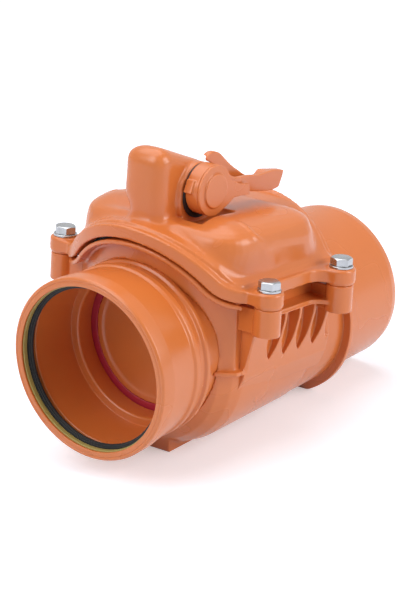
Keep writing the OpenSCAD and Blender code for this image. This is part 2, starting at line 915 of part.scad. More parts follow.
// Upper edges of the handle as [y, z] points from the drum to the tip, for a drum of scale u:
// the wall beside the cap, the wall beside the tower with its rounded nose, and the trough's floor
function near_edge(u, reach) = concat(
    curve([[13 * u, 10 * u], [22 * u, 1.5 * u], [32 * u, -2 * u], [reach * 0.64, -6.3 * u]], 8),
    curve([[reach * 0.64, -6.3 * u], [reach * 0.77, -8 * u], [reach * 0.87, -6.5 * u], [reach, -11 * u]], 6));
function far_edge(u, reach) = concat(
    curve([[5 * u, 18 * u], [8 * u, 23 * u], [17 * u, 22 * u], [23 * u, 15 * u]], 8),
    curve([[23 * u, 15 * u], [30 * u, 8 * u], [38 * u, -5 * u], [reach * 0.68, -9 * u]], 8),
    [[reach, -12 * u]]);
function floor_edge(u, reach) = concat(
    curve([[16 * u, -2 * u], [26 * u, -8 * u], [reach * 0.55, -12.5 * u], [reach * 0.68, -11.5 * u]], 8),
    curve([[reach * 0.68, -11.5 * u], [reach * 0.75, -11 * u], [reach * 0.76, -8 * u],
        [reach * 0.8, -7.6 * u]], 5),
    [[reach, -11 * u]]);

// Side of the handle under one of these edges, clear of the drum
module handle_side(edge) {
    u = drum_d / 34;
    reach = handle_reach;
    tip = [[reach, -13 * u], [reach - 1.5 * u, -19 * u]];
    under = curve([[reach - 2 * u, -20 * u], [reach * 0.9, -22.5 * u], [reach * 0.67, -15.5 * u],
        [22 * u, -9 * u]], 8);
    difference() {
        polygon(concat(edge, tip, under));
        circle(r = drum_d / 2 + 0.3);
    }
}

module lever_handle() {
    u = drum_d / 34;
    x0 = tower_half + 0.8;
    x1 = drum_x1 - 0.3;
    color(pvc)
        at_hub()
            rotate([cover_tilt, 0, 0])
                difference() {
                    union() {
                        along_x(x0, x0 + 1.4 * handle_wall) handle_side(far_edge(u, handle_reach));
                        along_x(x1 - handle_wall, x1) handle_side(near_edge(u, handle_reach));
                        along_x(x0, x1) handle_side(floor_edge(u, handle_reach));
                    }
                    along_x(x0 - 1, drum_x0) circle(d = hub_boss_d + 1.2);
                    // The handle narrows from the tower's side towards its tip
                    translate([0, 0, -far / 2])
                        linear_extrude(far)
                            polygon([[x0 - 1, handle_reach * 0.55], [(x0 + x1) / 2, handle_reach + 1],
                                [x0 - 1, handle_reach + 1]]);
                }
}

body();
cover();
cover_gasket();
cover_bolts();
bolt_washers();
bolt_nuts();
socket_seal();
seal_ring();
hinge_pin();
hinge_clips();
shaft_bush();
flap();
flap_gasket();
lock_shaft();
lock_finger();
finger_pin();
shaft_rings();
hub_seal();
lever_hub();
hub_screw();
hub_cap();
lever_handle();
inlet_socket();
side_rails();
spigot();
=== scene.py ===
import json
import math

import bmesh
import bpy
import numpy as np
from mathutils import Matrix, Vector


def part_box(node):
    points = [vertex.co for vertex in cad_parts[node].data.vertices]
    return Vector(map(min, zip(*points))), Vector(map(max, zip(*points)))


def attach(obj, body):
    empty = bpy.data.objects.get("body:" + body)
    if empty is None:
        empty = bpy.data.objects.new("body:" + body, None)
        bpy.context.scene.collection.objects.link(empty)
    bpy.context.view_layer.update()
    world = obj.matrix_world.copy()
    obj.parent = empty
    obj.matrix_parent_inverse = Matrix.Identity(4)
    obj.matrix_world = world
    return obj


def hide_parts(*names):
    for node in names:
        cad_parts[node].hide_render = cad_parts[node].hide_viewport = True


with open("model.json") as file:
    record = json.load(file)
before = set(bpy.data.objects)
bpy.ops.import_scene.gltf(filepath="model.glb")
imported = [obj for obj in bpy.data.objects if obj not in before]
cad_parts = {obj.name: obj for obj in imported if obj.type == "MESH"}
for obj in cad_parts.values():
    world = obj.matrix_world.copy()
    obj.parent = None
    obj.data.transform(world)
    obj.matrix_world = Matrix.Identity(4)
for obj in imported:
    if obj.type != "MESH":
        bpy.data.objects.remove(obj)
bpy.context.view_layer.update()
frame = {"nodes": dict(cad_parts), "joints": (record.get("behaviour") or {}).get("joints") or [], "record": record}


# Body: the chamber with its collar, thin joint flanges and foot, an injection moulding of
# orange-brown drain plastic. The mould leaves every edge a little round and every inner
# corner a little filled.
SAME_POINT = 2e-6
HOLLOW_RISE = 0.6
FLOW_DULLING = 0.12
# Painted highlight: how much of the sharp edges is coloured paler, and how much paler, in place of the light that
# glints on them.
EDGE_HIGHLIGHT_SHARE = 0.22
EDGE_HIGHLIGHT_GAIN = 1.35
EDGE_HIGHLIGHT_LIFT = 0.03


def new_piece(name, shell):
    """Makes an object of the scene from a finished bmesh."""
    mesh = bpy.data.meshes.new(name)
    shell.to_mesh(mesh)
    shell.free()
    piece = bpy.data.objects.new(name, mesh)
    bpy.context.scene.collection.objects.link(piece)
    return piece


def merged_copy(name, node):
    """A copy of a CAD node's mesh with its loose triangles joined at the corners."""
    shell = bmesh.new()
    shell.from_mesh(frame["nodes"][node].data)
    bmesh.ops.remove_doubles(shell, verts=shell.verts, dist=SAME_POINT)
    return new_piece(name, shell)


def settle(piece):
    """Turns a piece with modifiers into a plain mesh."""
    depsgraph = bpy.context.evaluated_depsgraph_get()
    mesh = bpy.data.meshes.new_from_object(piece.evaluated_get(depsgraph), depsgraph=depsgraph)
    piece.modifiers.clear()
    piece.data = mesh
    return piece


def fine_skin(piece, voxel):
    """Covers a closed shape, or several that overlap, with one skin of small even faces."""
    remesh = piece.modifiers.new("fine_skin", "REMESH")
    remesh.mode = "VOXEL"
    remesh.voxel_size = voxel
    return settle(piece)


def point_rows(mesh, value="co"):
    """The places of a mesh's points, or their normals, as rows of x, y and z."""
    rows = np.empty(len(mesh.vertices) * 3)
    mesh.vertices.foreach_get(value, rows)
    return rows.reshape(-1, 3)


def move_points(mesh, places):
    """Puts a mesh's points at new places."""
    mesh.vertices.foreach_set("co", places.ravel())
    mesh.update()


def round_edges(piece, passes, share=None):
    """Rounds every edge a little, or only where a share is given."""
    smooth = piece.modifiers.new("round_edges", "SMOOTH")
    smooth.factor = 0.5
    smooth.iterations = passes
    if share:
        group = piece.vertex_groups.new(name="rounded")
        for index, weight in enumerate(share(point_rows(piece.data))):
            if weight > 0:
                group.add([index], float(weight), "REPLACE")
        smooth.vertex_group = group.name
    settle(piece)
    piece.vertex_groups.clear()
    return piece


def sum_at_points(index, rows, count):
    """Adds up, for each of count points, the rows that the index gives to it."""
    sums = [np.bincount(index, weights=rows[:, k], minlength=count) for k in range(3)]
    return np.stack(sums, axis=1)


def soften_hollows(piece, passes, share=None):
    """Fills inner corners: points that lie under their neighbours rise, by their share."""
    mesh = piece.data
    count = len(mesh.vertices)
    places = point_rows(mesh)
    ends = np.empty(len(mesh.edges) * 2, dtype=np.int64)
    mesh.edges.foreach_get("vertices", ends)
    here = np.concatenate((ends[0::2], ends[1::2]))
    there = np.concatenate((ends[1::2], ends[0::2]))
    neighbours = np.bincount(here, minlength=count)[:, None]
    corners = np.empty(len(mesh.loops), dtype=np.int64)
    mesh.loops.foreach_get("vertex_index", corners)
    quads = corners.reshape(-1, 4)
    weight = share(places) if share else 1.0
    for _ in range(passes):
        first, second, third, fourth = (places[quads[:, k]] for k in range(4))
        facing = np.cross(third - first, fourth - second)
        normal = sum_at_points(corners, np.repeat(facing, 4, axis=0), count)
        normal /= np.maximum(np.linalg.norm(normal, axis=1, keepdims=True), 1e-12)
        middle = sum_at_points(here, places[there], count) / neighbours
        rise = ((middle - places) * normal).sum(axis=1)
        places = places + normal * (HOLLOW_RISE * weight * np.maximum(rise, 0))[:, None]
    move_points(mesh, places)
    return piece


def shade_smooth(mesh):
    """Shades every face of a mesh as part of a curved skin."""
    mesh.polygons.foreach_set("use_smooth", [True] * len(mesh.polygons))


def thin_out(piece, most_triangles):
    """Brings a skin of four-sided faces down to a number of triangles and shades it smooth."""
    triangles = 2 * len(piece.data.polygons)
    if triangles > most_triangles:
        thin = piece.modifiers.new("thin_out", "DECIMATE")
        thin.ratio = most_triangles / triangles
        settle(piece)
    shade_smooth(piece.data)
    return piece


def skin_group():
    """Fine grain, faint flow marks and the mask of a painted highlight along the edges of a moulded plastic skin.
    """
    group = bpy.data.node_groups.new("moulded_skin", "ShaderNodeTree")
    for label in ("Grain Scale", "Flow Scale", "Roughness"):
        group.interface.new_socket(label, in_out="INPUT", socket_type="NodeSocketFloat")
    for label in ("Flow", "Edge", "Roughness", "Height"):
        group.interface.new_socket(label, in_out="OUTPUT", socket_type="NodeSocketFloat")
    nodes, links = group.nodes, group.links
    given = nodes.new("NodeGroupInput")
    out = nodes.new("NodeGroupOutput")
    place = nodes.new("ShaderNodeTexCoord")
    grain = nodes.new("ShaderNodeTexNoise")
    grain.inputs["Detail"].default_value = 3.0
    flow = nodes.new("ShaderNodeTexNoise")
    flow.inputs["Detail"].default_value = 2.0
    for noise, scale in ((grain, "Grain Scale"), (flow, "Flow Scale")):
        links.new(place.outputs["Object"], noise.inputs["Vector"])
        links.new(given.outputs[scale], noise.inputs["Scale"])
    # Painted highlight: Pointiness marks the sharp edges, which the plastic colours paler in place of glints of
    # light.
    surface = nodes.new("ShaderNodeNewGeometry")
    edge = nodes.new("ShaderNodeMapRange")
    edge.inputs["From Min"].default_value = 0.5
    edge.inputs["From Max"].default_value = 0.58
    links.new(surface.outputs["Pointiness"], edge.inputs["Value"])
    rough = nodes.new("ShaderNodeMath")
    rough.operation = "MULTIPLY_ADD"
    rough.inputs[1].default_value = FLOW_DULLING
    links.new(flow.outputs["Fac"], rough.inputs[0])
    links.new(given.outputs["Roughness"], rough.inputs[2])
    links.new(flow.outputs["Fac"], out.inputs["Flow"])
    links.new(edge.outputs["Result"], out.inputs["Edge"])
    links.new(rough.outputs["Value"], out.inputs["Roughness"])
    links.new(grain.outputs["Fac"], out.inputs["Height"])
    return group


moulded_skin = skin_group()


def skinned(name, roughness, grain_scale, flow_scale, grain_strength, grain_depth):
    """A new material that takes its gloss and its fine bump from the moulded skin."""
    material = bpy.data.materials.new(name)
    material.use_nodes = True
    nodes, links = material.node_tree.nodes, material.node_tree.links
    shader = nodes["Principled BSDF"]
    skin = nodes.new("ShaderNodeGroup")
    skin.node_tree = moulded_skin
    skin.inputs["Roughness"].default_value = roughness
    skin.inputs["Grain Scale"].default_value = grain_scale
    skin.inputs["Flow Scale"].default_value = flow_scale
    bump = nodes.new("ShaderNodeBump")
    bump.inputs["Strength"].default_value = grain_strength
    bump.inputs["Distance"].default_value = grain_depth
    links.new(skin.outputs["Roughness"], shader.inputs["Roughness"])
    links.new(skin.outputs["Height"], bump.inputs["Height"])
    links.new(bump.outputs["Normal"], shader.inputs["Normal"])
    return material, shader, skin


def tone_mix(material, share, first, second):
    """Mixes two tones by a share that changes over the surface."""
    mix = material.node_tree.nodes.new("ShaderNodeMix")
    mix.data_type = "RGBA"
    mix.inputs["A"].default_value = (*first, 1)
    mix.inputs["B"].default_value = (*second, 1)
    material.node_tree.links.new(share, mix.inputs["Factor"])
    return mix


def plastic(name, deep, pale, roughness):
    """A moulded plastic between two close tones, with a painted highlight along its edges."""
    material, shader, skin = skinned(name, roughness, grain_scale=900.0, flow_scale=14.0,
                                     grain_strength=0.25, grain_depth=0.00003)
    nodes, links = material.node_tree.nodes, material.node_tree.links
    shader.inputs["IOR"].default_value = 1.55
    # Painted highlight: the edges get a paler, lifted tone that stands in for the light glinting on them.
    edge = nodes.new("ShaderNodeMath")
    edge.operation = "MULTIPLY"
    edge.inputs[1].default_value = EDGE_HIGHLIGHT_SHARE
    links.new(skin.outputs["Edge"], edge.inputs[0])
    tone = tone_mix(material, skin.outputs["Flow"], deep, pale)
    painted_edge_highlight = tone_mix(material, edge.outputs["Value"], deep, [EDGE_HIGHLIGHT_GAIN * c + EDGE_HIGHLIGHT_LIFT for c in pale])
    links.new(tone.outputs["Result"], painted_edge_highlight.inputs["A"])
    links.new(painted_edge_highlight.outputs["Result"], shader.inputs["Base Color"])
    return material


drain_plastic = plastic("drain_plastic", deep=(0.60, 0.155, 0.032), pale=(0.67, 0.185, 0.042),
                        roughness=0.20)


def finish_plastic(piece, body, *nodes):
    """Gives a piece the drain plastic and lets it stand for its CAD nodes."""
    piece.data.materials.clear()
    piece.data.materials.append(drain_plastic)
    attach(piece, body)
    if nodes:
        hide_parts(*nodes)


body = merged_copy("chamber_body", "body")
fine_skin(body, voxel=0.0008)
round_edges(body, passes=2)
soften_hollows(body, passes=4)
thin_out(body, most_triangles=195000)
finish_plastic(body, "housing", "body")


# Side rails: on each side a thin strip under the cover's ears, two bolt bosses and a block
# with a row of pointed pockets that save plastic. Their roots run into the chamber's wall,
# and the last pocket, cut open by the block's end, runs out flat at its tip.
CHAMBER_HALF = 0.065
CHAMBER_AXIS = 0.066
RAIL_ROOT = 0.0012
POCKET_FLOOR = 0.0656
LAST_TIP_Y = 0.030
LAST_TIP_Z = 0.063
TIP_FILL = 0.0032
ON_FLAT = 0.0001
ON_ROUND = 0.0003

rails = merged_copy("pocketed_rails", "side_rails")
for point in rails.data.vertices:
    x, y, z = point.co
    reach = math.hypot(x, z - CHAMBER_AXIS)
    on_floor = abs(abs(x) - POCKET_FLOOR) < ON_FLAT
    if abs(x) < CHAMBER_HALF + ON_FLAT:
        point.co.x -= math.copysign(RAIL_ROOT, x)
    elif reach < CHAMBER_HALF + ON_ROUND:
        point.co.x *= 1 - RAIL_ROOT / reach
        point.co.z -= (z - CHAMBER_AXIS) * RAIL_ROOT / reach
    elif on_floor and y > LAST_TIP_Y and z < LAST_TIP_Z:
        point.co.x += math.copysign(TIP_FILL, x)
fine_skin(rails, voxel=0.0005)
round_edges(rails, passes=2)
thin_out(rails, most_triangles=190000)
finish_plastic(rails, "housing", "side_rails")


# Corner posts: at the front end of each pocketed block a flat upright bar, moulded with the
# body, that runs down from the bolt boss and turns forward into the ledge of the collar.
BLOCK_Z = 0.0722
BLOCK_FRONT = -0.0569
FRONT_LEAN = 0.098
BLOCK_SIDE = 0.0702
SIDE_LEAN = 0.241
POST_INNER = 0.0632
POST_OUTER = 0.0694
POST_LOW = 0.0648
POST_TOP = 0.0965
POST_THICK = 0.0026
POST_SINK = 0.0005
LEDGE_TOP = 0.0678
LEDGE_STEP = 0.0006
BEND = 0.0035


def join_rings(shell, rings):
    """Closes the strip of faces between each ring of points and the next one."""
    for ring, following in zip(rings, rings[1:]):
        for i in range(len(ring)):
            j = (i + 1) % len(ring)
            shell.faces.new((ring[i], ring[j], following[j], following[i]))


def side_plates(name, outline, inner, outer):
    """A flat plate on each side of the valve, with an outline seen along X. Its inner and
    outer face stand at distances from the middle that may change with the height."""
    shell = bmesh.new()
    for side in (-1, 1):
        faces = [[shell.verts.new((side * x(z), y, z)) for y, z in outline] for x in (inner, outer)]
        join_rings(shell, faces)
        for face in faces:
            shell.faces.new(face)
    bmesh.ops.recalc_face_normals(shell, faces=shell.faces)
    piece = new_piece(name, shell)
    soft = piece.modifiers.new("soft_edges", "BEVEL")
    soft.width = 0.0006
    soft.segments = 3
    soft.limit_method = "ANGLE"
    return settle(piece)


def block_front(z):
    """The leaning front face of the pocketed block."""
    return BLOCK_FRONT + FRONT_LEAN * (z - BLOCK_Z)


def post_side(z):
    """The outer face of a post, which follows the leaning side of the block."""
    return max(POST_OUTER, BLOCK_SIDE + SIDE_LEAN * (z - BLOCK_Z))


def post_outline():
    """Outline of a post seen along X: upright, with a curve into the ledge."""
    bend_y = block_front(LEDGE_TOP + BEND) - POST_THICK
    bend = [(bend_y - BEND * (1 - math.sin(a)), LEDGE_TOP + BEND * (1 - math.cos(a)))
            for a in (math.radians(15 * k) for k in range(7))]
    top = (block_front(POST_TOP) - POST_THICK, POST_TOP)
    back = [(block_front(z) + POST_SINK, z) for z in (POST_TOP, POST_LOW)]
    return bend + [top] + back + [(bend[0][0], POST_LOW + LEDGE_STEP)]


corner_posts = side_plates("corner_posts", post_outline(), inner=lambda z: POST_INNER, outer=post_side)
finish_plastic(corner_posts, "housing")


# Inlet socket: the pipe socket with its flared mouth, two ridges, the pipe stop and the neck
# that ends in the flap's seat, turned true and welded into the chamber's front wall.
PIPE_RADIUS = 0.055
SOCKET_AXIS = frame["record"]["mounts"][1]["pos_m"][2]
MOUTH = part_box("inlet_socket")[0][1]
MOUTH_RADIUS = 0.0562
MOUTH_WALL = 0.0018
MOUTH_OUTER = 0.0622
MOUTH_ROUND = 0.0012
MOUTH_TAPER = 0.0003
FINE_GROOVE = MOUTH_OUTER - 0.0026
FINE_HALF = 0.0004
SOCKET_RADIUS = 0.0586
RIDGE_RADIUS = 0.0599
VALLEY_RADIUS = 0.0580
NECK_RADIUS = 0.0574
SEAT_RADIUS = 0.0495
BORE_RADIUS = PIPE_RADIUS + 0.0006
GROOVE_RADIUS = 0.0598
GROOVE_SLOPE = 0.002
SOCKET_DEPTH = 0.050
STOP_EDGE = 0.001
SEAT_DEPTH = 0.064
SEAL_END = 0.012
TAPER_END = 0.036
FRONT_RIDGE = (0.038, 0.042)
VALLEY = (0.044, 0.0475)
REAR_RIDGE = (0.049, 0.052)
NECK_START = 0.054


def rounded(profile, radius):
    """A closed profile with every corner drawn as a small curve."""
    most_of_side = 0.4
    corners = [Vector(corner) for corner in profile]
    result = []
    for before, corner, after in zip(corners[-1:] + corners[:-1], corners, corners[1:] + corners[:1]):
        back, on = before - corner, after - corner
        start = corner + back.normalized() * min(radius, most_of_side * back.length)
        stop = corner + on.normalized() * min(radius, most_of_side * on.length)
        for t in (0, 0.25, 0.5, 0.75, 1):
            result.append(start * (1 - t) ** 2 + corner * 2 * t * (1 - t) + stop * t ** 2)
    return result


def turned(name, profile, axis_z, start_y, around=192):
    """Turns a closed profile of (radius, depth) points round a level axis along the flow."""
    shell = bmesh.new()
    rings = []
    for step in range(around):
        turn = 2 * math.pi * step / around
        rings.append([shell.verts.new((r * math.sin(turn), start_y + y, axis_z + r * math.cos(turn)))
                      for r, y in profile])
    join_rings(shell, rings + rings[:1])
    bmesh.ops.recalc_face_normals(shell, faces=shell.faces)
    piece = new_piece(name, shell)
    shade_smooth(piece.data)
    return piece


mouth_face = [(MOUTH_RADIUS, MOUTH_WALL), (MOUTH_RADIUS, 0), (FINE_GROOVE - FINE_HALF, 0),
              (FINE_GROOVE, FINE_HALF), (FINE_GROOVE + FINE_HALF, 0), (MOUTH_OUTER - MOUTH_ROUND, 0),
              (MOUTH_OUTER, MOUTH_ROUND)]
socket_side = [(MOUTH_OUTER - MOUTH_TAPER, SEAL_END), (SOCKET_RADIUS, TAPER_END),
               (RIDGE_RADIUS, FRONT_RIDGE[0]), (RIDGE_RADIUS, FRONT_RIDGE[1]),
               (VALLEY_RADIUS, VALLEY[0]), (VALLEY_RADIUS, VALLEY[1]),
               (RIDGE_RADIUS, REAR_RIDGE[0]), (RIDGE_RADIUS, REAR_RIDGE[1]),
               (NECK_RADIUS, NECK_START), (NECK_RADIUS, SEAT_DEPTH)]
socket_bore = [(SEAT_RADIUS, SEAT_DEPTH), (SEAT_RADIUS, SOCKET_DEPTH + STOP_EDGE),
               (SEAT_RADIUS + STOP_EDGE, SOCKET_DEPTH), (BORE_RADIUS, SOCKET_DEPTH),
               (BORE_RADIUS, SEAL_END + GROOVE_SLOPE), (GROOVE_RADIUS, SEAL_END),
               (GROOVE_RADIUS, MOUTH_WALL)]
socket = turned("pipe_socket", rounded(mouth_face + socket_side + socket_bore, radius=0.0006),
                SOCKET_AXIS, MOUTH)
finish_plastic(socket, "housing", "inlet_socket")


# Hinge lugs: two flat ears of the same plastic, moulded on the neck above the seat. Each has
# a round eye that carries one end of the hinge pin.
LUG_INNER = 0.021
LUG_WIDTH = 0.006
LUG_RADIUS = 0.007
FOOT_HIGH = 0.0512
FOOT_LOW = 0.0450
FOOT_DEEP = 0.0049
FOOT_SHOULDER = 0.001
hinge = Vector(next(joint for joint in frame["joints"] if joint["name"] == "flap_swing")["pos_m"])


def lug_outline():
    """Outline of a lug seen along the pin: a round eye on a foot that runs into the neck."""
    foot_y = MOUTH + SEAT_DEPTH
    eye = [(hinge.y + LUG_RADIUS * math.sin(a), hinge.z + LUG_RADIUS * math.cos(a))
           for a in (math.radians(10 * k) for k in range(16))]
    foot = [(foot_y, SOCKET_AXIS + FOOT_HIGH), (foot_y - FOOT_DEEP, SOCKET_AXIS + FOOT_LOW),
            (foot_y - FOOT_DEEP, hinge.z + FOOT_SHOULDER)]
    return eye + foot


hinge_lugs = side_plates("hinge_lugs", lug_outline(), inner=lambda z: LUG_INNER,
                         outer=lambda z: LUG_INNER + LUG_WIDTH)
finish_plastic(hinge_lugs, "housing")


# Spigot: the plain outlet pipe with its bevelled end, behind a ring that stops the next
# socket. It is turned in one piece with the outlet neck, and the ring is flat underneath.
SPIGOT_AXIS = frame["record"]["mounts"][0]["pos_m"][2]
OUTLET_RADIUS = 0.056
RING_RADIUS = 0.062
RING_DEPTH = 0.040
RING_THICK = 0.004
SPIGOT_BORE = PIPE_RADIUS - 0.0036
BEVEL_LENGTH = 0.006
BEVEL_DEPTH = 0.0014
FLOOR_Z = 0.0

spigot_low, spigot_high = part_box("spigot")
spigot_length = spigot_high[1] - spigot_low[1]
ring_end = RING_DEPTH + RING_THICK
spigot_profile = [(SPIGOT_BORE, 0), (OUTLET_RADIUS, 0), (OUTLET_RADIUS, RING_DEPTH),
                  (RING_RADIUS, RING_DEPTH), (RING_RADIUS, ring_end), (PIPE_RADIUS, ring_end),
                  (PIPE_RADIUS, spigot_length - BEVEL_LENGTH),
                  (PIPE_RADIUS - BEVEL_DEPTH, spigot_length), (SPIGOT_BORE, spigot_length)]
spigot = turned("outlet_spigot", rounded(spigot_profile, radius=0.0007), SPIGOT_AXIS, spigot_low[1])
for point in spigot.data.vertices:
    point.co.z = max(point.co.z, FLOOR_Z)
finish_plastic(spigot, "housing", "spigot")


# Lip seal and its retaining ring: a black rubber ring with fine ribs and a lip that leans into
# the socket, held in the groove behind the mouth by an olive plastic ring snapped in front.
KEEPER_END = 0.0054
RING_FIT = 0.0001
RIBS = 3
RIB_HEIGHT = 0.00045
LIP_ROOT = Vector((PIPE_RADIUS + 0.0009, KEEPER_END))
LIP_TIP = Vector((PIPE_RADIUS - 0.0022, KEEPER_END + 0.0024))
LIP_BACK = ((PIPE_RADIUS - 0.002, KEEPER_END + 0.0034), (PIPE_RADIUS + 0.0012, KEEPER_END + 0.0036))
HEEL_RADIUS = PIPE_RADIUS + 0.0016
BLOOM_SHARE = 0.9
BLOOM_LIFT = 0.004


def finish_node(node, material):
    """Gives a CAD node that shows as it is its material."""
    piece = frame["nodes"][node]
    piece.data.materials.clear()
    piece.data.materials.append(material)


def rubber(name, colour, roughness):
    """Sealing rubber with a faint bloom and a fine matt grain."""
    material, shader, skin = skinned(name, roughness, grain_scale=1400.0, flow_scale=40.0,
                                     grain_strength=0.3, grain_depth=0.00005)
    pale = [BLOOM_SHARE * c + BLOOM_LIFT for c in colour]
    bloom = tone_mix(material, skin.outputs["Flow"], colour, pale)
    material.node_tree.links.new(bloom.outputs["Result"], shader.inputs["Base Color"])
    return material


black_rubber = rubber("black_rubber", colour=(0.006, 0.006, 0.007), roughness=0.5)
olive_plastic = plastic("olive_plastic", deep=(0.36, 0.29, 0.075), pale=(0.44, 0.36, 0.11),
                        roughness=0.42)
lip_face = []
for rib in range(RIBS):
    for share, height in ((0.15, 0), (0.5, RIB_HEIGHT), (0.85, 0)):
        along = (rib + share) / RIBS
        lip_face.append(LIP_ROOT.lerp(LIP_TIP, along) - Vector((height, height)))
seal_outer, seal_end = GROOVE_RADIUS - RING_FIT, SEAL_END - RING_FIT
seal_profile = [(seal_outer, KEEPER_END + RING_FIT), LIP_ROOT, *lip_face, LIP_TIP, *LIP_BACK,
                (HEEL_RADIUS, seal_end), (seal_outer, seal_end)]
seal = turned("ribbed_lip_seal", rounded(seal_profile, radius=0.0004), SOCKET_AXIS, MOUTH)
seal.data.materials.append(black_rubber)
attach(seal, "housing")
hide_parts("socket_seal")

keeper_front, keeper_back = MOUTH_WALL + RING_FIT, KEEPER_END - RING_FIT
keeper_profile = [(BORE_RADIUS, keeper_front), (seal_outer, keeper_front), (seal_outer, keeper_back),
                  (BORE_RADIUS, keeper_back)]
keeper = turned("seal_keeper", rounded(keeper_profile, radius=0.0004), SOCKET_AXIS, MOUTH)
keeper.data.materials.append(olive_plastic)
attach(keeper, "housing")
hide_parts("seal_ring")


# Flap: a moulded disc with two arms and a heel, hung on the hinge pin behind the socket.
# A red rubber gasket round its face closes against the seat.
GASKET_WIDTH = 0.0086

flap = merged_copy("flap_disc", "flap")
fine_skin(flap, voxel=0.0009)
round_edges(flap, passes=2)
soften_hollows(flap, passes=3)
thin_out(flap, most_triangles=150000)
finish_plastic(flap, "flap", "flap")

red_rubber = rubber("red_rubber", colour=(0.42, 0.012, 0.035), roughness=0.42)
gasket_low, gasket_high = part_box("flap_gasket")
gasket_outer = (gasket_high[0] - gasket_low[0]) / 2
gasket_inner = gasket_outer - GASKET_WIDTH
gasket_thick = gasket_high[1] - gasket_low[1]
gasket_profile = [(gasket_inner, 0), (gasket_outer, 0), (gasket_outer, gasket_thick),
                  (gasket_inner, gasket_thick)]
flap_gasket = turned("flap_gasket_ring", rounded(gasket_profile, radius=0.0009), SOCKET_AXIS,
                     gasket_low[1])
flap_gasket.data.materials.append(red_rubber)
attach(flap_gasket, "flap")
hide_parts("flap_gasket")


# Hinge pin and clips: a plain zinc-plated steel pin through the lugs behind the seat, kept
# in place by a clip at each end.
CLOUD_SHARE = 0.72


def plated(name, colour, roughness):
    """Zinc plating: grey metal with a faint cloudy spangle and a very fine grain."""
    material, shader, skin = skinned(name, roughness, grain_scale=2200.0, flow_scale=160.0,
                                     grain_strength=0.2, grain_depth=0.00002)
    shader.inputs["Metallic"].default_value = 1.0
    cloud = tone_mix(material, skin.outputs["Flow"], colour, [CLOUD_SHARE * c for c in colour])
    material.node_tree.links.new(cloud.outputs["Result"], shader.inputs["Base Color"])
    return material


zinc = plated("zinc_plating", colour=(0.52, 0.53, 0.55), roughness=0.20)
finish_node("hinge_pin", zinc)
finish_node("hinge_clips", zinc)


# Cover gasket: a flat strip cut from black sheet rubber, which follows the arched joint and
# is pressed between body and cover by the bolts.
finish_node("cover_gasket", black_rubber)


# Cover: the moulded hood over the chamber, with an arched stepped flange, bolt ears and
# the tower that holds the lever's shaft. The dome, the tower and the flange run into
# each other in wide soft hollows, and only the flange and the drum's pocket stay crisp.
ARCH_TOP = 0.0835
EAR_TOP = 0.0505
PIVOT_BACK = 0.005
FLANGE_FADE = (-0.002, 0.002)
POCKET_FADE = (0.026, 0.032)
POCKET_SIDE = 0.012
RIM_FRONT = -0.028
RIM_BACK = 0.0905
RIM_SIDE = 0.0655
RIM_FADE = (0, 0.006)
HOOD_MIDDLE = (0.045, 0.04)
HUB_FREE = (0.009, 0.020)
HUB_FREE_SIDE = (0.017, 0.021)
NOT_UNDERSIDE = -0.1
CREST_SHARE = 0.45
CREST_FROM = 0.077
CREST_SPAN = 0.018
CREST_FRONT = (-0.034, -0.020)
CREST_END = (0.095, 0.112)
TOWER_DROP = 0.0035
TOWER_RISE = (0.098, 0.115)
TOWER_BROADER = 0.005
BROAD_SIDE = (0.002, 0.014)
BROAD_RISE = (0.088, 0.100)
SHOULDER_OUT = 0.0015
SHOULDER_SIDE = (0.030, 0.050)
SHOULDER_RISE = (0.050, 0.070)
CREASE_OUT = 0.0008
CREASE_SOFT = 0.0008
CREASE_CLEAR = (0.002, 0.005)
CREASE_SIDE = (0.045, 0.052)
CREASE_HEIGHTS = (0.062, 0.078), (0.060, 0.080)
CREASE_EDGES = (0.011, -0.001), (0.022, 0.003)
SOFT_RISE = (0.004, 0.014)
SOFT_REACH = (0.024, 0.030)
SOFT_SIDE = 0.010
hub = Vector(next(joint for joint in frame["joints"] if joint["name"] == "lever_turn")["pos_m"])


def washer_seats():
    """Middle of each washer, and the lean of the cover joint they lie on."""
    places = np.array([v.co for v in frame["nodes"]["bolt_washers"].data.vertices])
    corners = {}
    for side in (-1, 1):
        for end in (-1, 1):
            at_end = np.sign(places[:, 1] - places[:, 1].mean()) == end
            group = places[(np.sign(places[:, 0]) == side) & at_end]
            corners[side, end] = Vector((group.min(0) + group.max(0)) / 2)
    run = corners[1, 1] - corners[1, -1]
    return corners, math.atan2(run.z, run.y)


seats, joint_lean = washer_seats()
JOINT_PIVOT_Y = seats[1, -1].y + PIVOT_BACK


def on_joint(run, rise):
    """Turns a run and a rise into lengths along the leaning joint and square to it."""
    level, steep = math.cos(joint_lean), math.sin(joint_lean)
    return run * level + rise * steep, rise * level - run * steep


def flange_top(across):
    """Height of the flange's upper face, square to the joint."""
    return np.maximum(np.sqrt(np.maximum(ARCH_TOP ** 2 - across ** 2, 0)), EAR_TOP)


def hub_reach(places):
    """Distance from the lever's axis."""
    return np.hypot(places[:, 1] - hub.y, places[:, 2] - hub.z)


def ramp(value, low, high):
    """0 below low, 1 above high, and a straight slope between them."""
    return np.clip((value - low) / (high - low), 0, 1)


def rising(value, low, high):
    """0 below low, 1 above high, and a smooth step between them."""
    t = ramp(value, low, high)
    return t * t * (3 - 2 * t)


def cover_blend(places):
    """1 on the dome and the tower, 0 on the flange and round the drum's pocket."""
    height = on_joint(places[:, 1] - JOINT_PIVOT_Y, places[:, 2] - SOCKET_AXIS)[1]
    above = ramp(height - flange_top(places[:, 0]), *FLANGE_FADE)
    off_pocket = np.where(places[:, 0] > POCKET_SIDE, ramp(hub_reach(places), *POCKET_FADE), 1)
    return above * off_pocket


